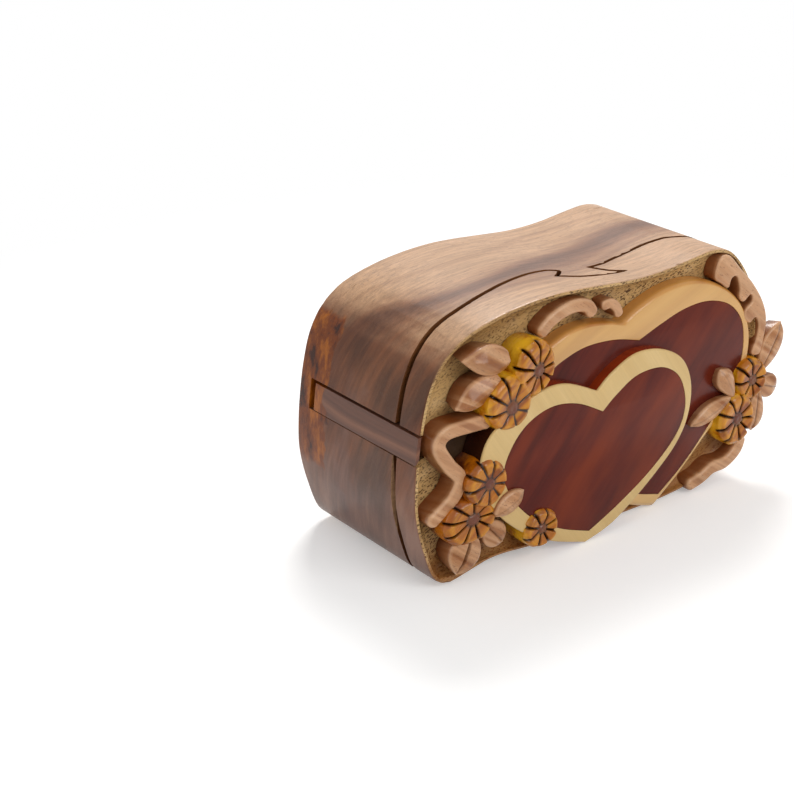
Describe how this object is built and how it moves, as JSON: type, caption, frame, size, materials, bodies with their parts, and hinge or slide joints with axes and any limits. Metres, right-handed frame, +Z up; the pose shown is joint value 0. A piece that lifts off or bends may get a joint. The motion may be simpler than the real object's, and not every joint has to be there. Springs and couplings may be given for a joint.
{
  "type": "puzzle box",
  "caption": "Carved wooden puzzle box with a dished front lid on a dovetail saw cut, a sliding key bar in one end and raised hearts and flowers.",
  "frame": {"origin": "centre of the box's footprint, on the level of its lowest point", "axes": "+X along the length, to the right seen from the carved front; the front faces -Y; +Z up"},
  "size_m": [0.1774, 0.085, 0.0985],
  "materials": {
    "body_wood": "satin varnish",
    "back_wood": "satin varnish",
    "lid_wood": "satin varnish",
    "key_wood": "satin varnish",
    "cream_wood": "satin varnish",
    "dark_wood": "satin varnish",
    "honey_wood": "satin varnish",
    "petal_wood": "satin varnish",
    "leaf_wood": "satin varnish"
  },
  "bodies": {
    "body": {"box_body": "body_wood", "back_panel": "back_wood"},
    "lid": {"lid": "lid_wood", "front_heart_border": "cream_wood", "front_heart_panel": "dark_wood", "rear_heart_border": "honey_wood", "rear_heart_panel": "dark_wood", "flower_upper_left": "petal_wood", "flower_top_left": "petal_wood", "flower_middle_left": "petal_wood", "flower_lower_left": "petal_wood", "flower_bottom": "petal_wood", "flower_right_upper": "petal_wood", "flower_right_lower": "petal_wood", "leaf_top_left": "leaf_wood", "leaf_upper_left": "leaf_wood", "leaf_middle_left": "leaf_wood", "leaf_lower_left": "leaf_wood", "leaf_bottom_left": "leaf_wood", "leaf_heart_upper": "leaf_wood", "leaf_heart_lower": "leaf_wood", "leaf_right_upper": "leaf_wood", "leaf_right_middle": "leaf_wood", "leaf_right_lower": "leaf_wood", "ribbon_left": "leaf_wood", "ribbon_top": "leaf_wood", "ribbon_top_short": "leaf_wood", "ribbon_right_upper": "leaf_wood", "ribbon_right_lower": "leaf_wood"},
    "key": {"key_bar": "key_wood"}
  },
  "joints": [
    {"name": "lid_slide", "type": "slide", "parent": "body", "child": "lid", "axis": [0, 0, 1], "range_m": [0, 0.1]},
    {"name": "key_slide", "type": "slide", "parent": "body", "child": "key", "axis": [-1, 0, 0], "range_m": [0, 0.1]}
  ],
  "couplings": [
    {"joint": "key_slide", "follows": "lid_slide", "ratio": 1}
  ]
}
